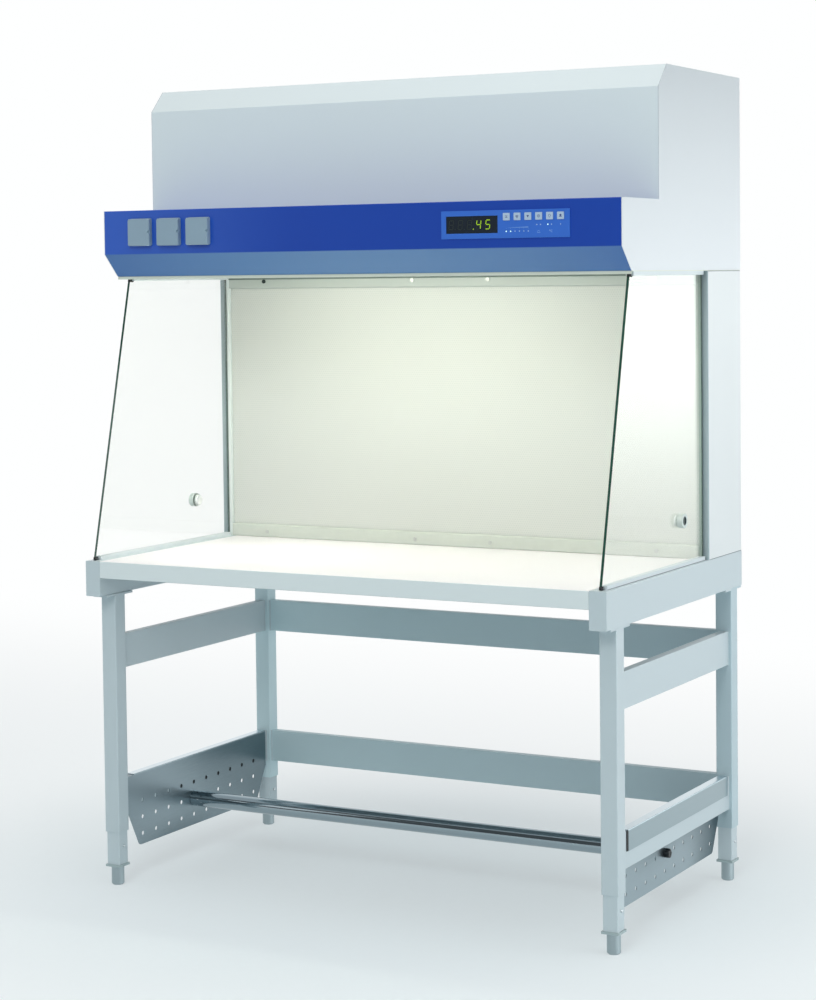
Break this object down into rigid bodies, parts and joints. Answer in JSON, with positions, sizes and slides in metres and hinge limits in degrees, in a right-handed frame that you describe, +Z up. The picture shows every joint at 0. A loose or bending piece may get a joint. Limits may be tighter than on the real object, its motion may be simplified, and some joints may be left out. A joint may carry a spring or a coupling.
{
  "type": "laminar flow hood",
  "caption": "Horizontal laminar flow clean bench with glass sides, filter diffuser and lamp fascia, on a height-adjustable stand with a footrest.",
  "frame": {"origin": "on the floor, under the middle of the overall width and depth", "axes": "+X along the width to the operator's right, +Y from the open front to the back, +Z up"},
  "size_m": [1.33, 0.785, 1.892],
  "materials": {
    "white_enamel": "smooth powder coat",
    "stand_enamel": "light grey powder coat",
    "blue_enamel": "deep blue satin coat",
    "cream_laminate": "melamine-faced board",
    "grille_enamel": "perforated, pale coat",
    "brushed_stainless": "brushed",
    "polished_stainless": "polished",
    "zinc_steel": "plated",
    "anodised_aluminium": "satin anodised",
    "clear_glass": "toughened float glass",
    "black_rubber": "matt",
    "black_plastic": "moulded",
    "white_plastic": "moulded",
    "lid_grey": "moulded, satin",
    "panel_blue": "printed foil",
    "key_grey": "satin",
    "dark_window": "tinted",
    "circuit_green": "lacquered",
    "filter_paper": "pleated glass fibre",
    "filter_foam": "coarse mat",
    "lamp_white": "phosphor-coated tube"
  },
  "bodies": {
    "bench": {"hood_shell": "white_enamel", "cheek_left": "white_enamel", "cheek_right": "white_enamel", "back_panel": "white_enamel", "plenum_case": "white_enamel", "side_rail_left": "white_enamel", "side_rail_right": "white_enamel", "chamber_ceiling": "white_enamel", "chamber_posts": "white_enamel", "lamp_tray": "white_enamel", "side_frame_left": "stand_enamel", "side_frame_right": "stand_enamel", "rear_bar_upper": "stand_enamel", "rear_bar_lower": "stand_enamel", "lamp_box": "blue_enamel", "work_surface": "cream_laminate", "diffuser_grille": "grille_enamel", "hook_plate_left": "brushed_stainless", "hook_plate_right": "brushed_stainless", "footrest_tube": "polished_stainless", "leg_lock_screws": "zinc_steel", "grille_screws": "zinc_steel", "fan_deck": "zinc_steel", "fan_motor": "zinc_steel", "glass_channels": "anodised_aluminium", "filter_frame": "anodised_aluminium", "side_glass_left": "clear_glass", "side_glass_right": "clear_glass", "glass_seals": "black_rubber", "mains_inlet": "black_plastic", "port_grommets": "white_plastic", "socket_bases": "lid_grey", "control_panel": "panel_blue", "display_window": "dark_window", "control_board": "circuit_green", "filter_pleats": "filter_paper", "prefilter": "filter_foam", "lamp_tube": "lamp_white"},
    "leg_slide_front_left": {"inner_leg_front_left": "stand_enamel"},
    "foot_front_left": {"foot_front_left": "zinc_steel"},
    "leg_slide_front_right": {"inner_leg_front_right": "stand_enamel"},
    "foot_front_right": {"foot_front_right": "zinc_steel"},
    "leg_slide_rear_left": {"inner_leg_rear_left": "stand_enamel"},
    "foot_rear_left": {"foot_rear_left": "zinc_steel"},
    "leg_slide_rear_right": {"inner_leg_rear_right": "stand_enamel"},
    "foot_rear_right": {"foot_rear_right": "zinc_steel"},
    "key_1": {"key_1": "key_grey"},
    "key_2": {"key_2": "key_grey"},
    "key_3": {"key_3": "key_grey"},
    "key_4": {"key_4": "key_grey"},
    "key_5": {"key_5": "key_grey"},
    "key_6": {"key_6": "key_grey"},
    "socket_lid_1": {"socket_lid_1": "lid_grey"},
    "socket_lid_2": {"socket_lid_2": "lid_grey"},
    "socket_lid_3": {"socket_lid_3": "lid_grey"},
    "port_plug_left": {"port_plug_left": "white_plastic"},
    "footrest_knob_left": {"footrest_knob_left": "black_plastic"},
    "port_plug_right": {"port_plug_right": "white_plastic"},
    "footrest_knob_right": {"footrest_knob_right": "black_plastic"},
    "fan_impeller": {"fan_impeller": "anodised_aluminium"}
  },
  "joints": [
    {"name": "leg_extension_front_left", "type": "slide", "parent": "bench", "child": "leg_slide_front_left", "axis": [0, 0, -1], "range_m": [0, 0.15]},
    {"name": "foot_screw_front_left", "type": "slide", "parent": "leg_slide_front_left", "child": "foot_front_left", "axis": [0, 0, -1], "range_m": [0, 0.03]},
    {"name": "leg_extension_front_right", "type": "slide", "parent": "bench", "child": "leg_slide_front_right", "axis": [0, 0, -1], "range_m": [0, 0.15]},
    {"name": "foot_screw_front_right", "type": "slide", "parent": "leg_slide_front_right", "child": "foot_front_right", "axis": [0, 0, -1], "range_m": [0, 0.03]},
    {"name": "leg_extension_rear_left", "type": "slide", "parent": "bench", "child": "leg_slide_rear_left", "axis": [0, 0, -1], "range_m": [0, 0.15]},
    {"name": "foot_screw_rear_left", "type": "slide", "parent": "leg_slide_rear_left", "child": "foot_rear_left", "axis": [0, 0, -1], "range_m": [0, 0.03]},
    {"name": "leg_extension_rear_right", "type": "slide", "parent": "bench", "child": "leg_slide_rear_right", "axis": [0, 0, -1], "range_m": [0, 0.15]},
    {"name": "foot_screw_rear_right", "type": "slide", "parent": "leg_slide_rear_right", "child": "foot_rear_right", "axis": [0, 0, -1], "range_m": [0, 0.03]},
    {"name": "key_1_press", "type": "slide", "parent": "bench", "child": "key_1", "axis": [0, 1, 0], "range_m": [0, 0.0008], "stiffness_N_per_m": 900, "springref_m": -0.0003},
    {"name": "key_2_press", "type": "slide", "parent": "bench", "child": "key_2", "axis": [0, 1, 0], "range_m": [0, 0.0008], "stiffness_N_per_m": 900, "springref_m": -0.0003},
    {"name": "key_3_press", "type": "slide", "parent": "bench", "child": "key_3", "axis": [0, 1, 0], "range_m": [0, 0.0008], "stiffness_N_per_m": 900, "springref_m": -0.0003},
    {"name": "key_4_press", "type": "slide", "parent": "bench", "child": "key_4", "axis": [0, 1, 0], "range_m": [0, 0.0008], "stiffness_N_per_m": 900, "springref_m": -0.0003},
    {"name": "key_5_press", "type": "slide", "parent": "bench", "child": "key_5", "axis": [0, 1, 0], "range_m": [0, 0.0008], "stiffness_N_per_m": 900, "springref_m": -0.0003},
    {"name": "key_6_press", "type": "slide", "parent": "bench", "child": "key_6", "axis": [0, 1, 0], "range_m": [0, 0.0008], "stiffness_N_per_m": 900, "springref_m": -0.0003},
    {"name": "socket_lid_1_hinge", "type": "hinge", "parent": "bench", "child": "socket_lid_1", "pos_m": [-0.5583, -0.3044, 1.5732], "axis": [-1, 0, 0], "range_deg": [0, 100], "stiffness_Nm_per_rad": 0.03, "springref_deg": -17.19},
    {"name": "socket_lid_2_hinge", "type": "hinge", "parent": "bench", "child": "socket_lid_2", "pos_m": [-0.4769, -0.3044, 1.5732], "axis": [-1, 0, 0], "range_deg": [0, 100], "stiffness_Nm_per_rad": 0.03, "springref_deg": -17.19},
    {"name": "socket_lid_3_hinge", "type": "hinge", "parent": "bench", "child": "socket_lid_3", "pos_m": [-0.3955, -0.3044, 1.5732], "axis": [-1, 0, 0], "range_deg": [0, 100], "stiffness_Nm_per_rad": 0.03, "springref_deg": -17.19},
    {"name": "port_plug_left_pull", "type": "slide", "parent": "bench", "child": "port_plug_left", "axis": [1, 0, 0], "range_m": [0, 0.03]},
    {"name": "footrest_knob_left_turn", "type": "hinge", "parent": "bench", "child": "footrest_knob_left", "pos_m": [-0.64, -0.01175, 0.1445], "axis": [-1, 0, 0], "continuous": true},
    {"name": "port_plug_right_pull", "type": "slide", "parent": "bench", "child": "port_plug_right", "axis": [-1, 0, 0], "range_m": [0, 0.03]},
    {"name": "footrest_knob_right_turn", "type": "hinge", "parent": "bench", "child": "footrest_knob_right", "pos_m": [0.64, -0.01175, 0.1445], "axis": [1, 0, 0], "continuous": true},
    {"name": "fan_spin", "type": "hinge", "parent": "bench", "child": "fan_impeller", "pos_m": [0, 0.15, 1.68], "axis": [0, 0, 1], "continuous": true}
  ]
}
